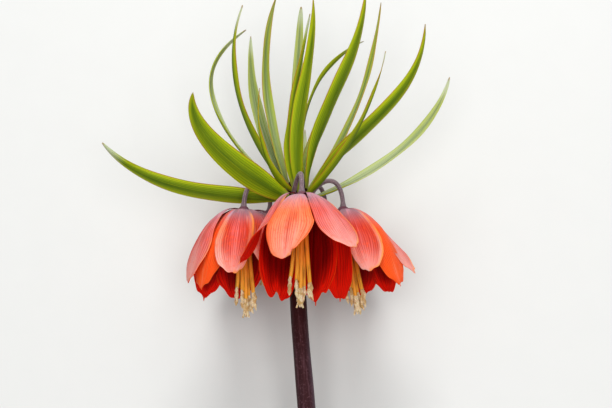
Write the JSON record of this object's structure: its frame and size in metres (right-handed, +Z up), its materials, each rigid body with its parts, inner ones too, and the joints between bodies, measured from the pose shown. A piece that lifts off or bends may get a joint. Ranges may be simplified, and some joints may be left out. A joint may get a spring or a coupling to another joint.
{
  "type": "crown imperial fritillary stem",
  "caption": "Picked crown imperial fritillary lying on its back: a bare dark stem, a whorl of hanging orange-red bells and a tuft of narrow green leaves over them.",
  "frame": {"origin": "centre of the bounding box's underside, on the surface that the plant lies on", "axes": "+Y along the stem towards the flowers and leaves, +Z up from the surface towards the plant's front"},
  "size_m": [0.1778, 0.4054, 0.1131],
  "materials": {
    "stem": "smooth waxy skin, dark maroon, satin",
    "pedicel": "smooth waxy skin, purple-grey, satin",
    "tepal": "soft petal, orange-red with a pale bloom and red veins, satin",
    "stamen": "soft filaments and dusty anthers, cream to ochre, matt",
    "leaf": "smooth waxy blade, fresh green with paler margins, satin"
  },
  "bodies": {
    "root": {"stem": "stem", "pedicel_front": "pedicel", "tepals_front": "tepal", "stamens_front": "stamen", "pedicel_left": "pedicel", "tepals_left": "tepal", "stamens_left": "stamen", "pedicel_back_left": "pedicel", "tepals_back_left": "tepal", "stamens_back_left": "stamen", "pedicel_back_right": "pedicel", "tepals_back_right": "tepal", "stamens_back_right": "stamen", "pedicel_right": "pedicel", "tepals_right": "tepal", "stamens_right": "stamen", "leaf_01": "leaf", "leaf_02": "leaf", "leaf_03": "leaf", "leaf_04": "leaf", "leaf_05": "leaf", "leaf_06": "leaf", "leaf_07": "leaf", "leaf_08": "leaf", "leaf_09": "leaf", "leaf_10": "leaf", "leaf_11": "leaf", "leaf_12": "leaf", "leaf_13": "leaf", "leaf_14": "leaf", "leaf_15": "leaf", "leaf_16": "leaf", "leaf_17": "leaf", "leaf_18": "leaf"}
  },
  "joints": []
}
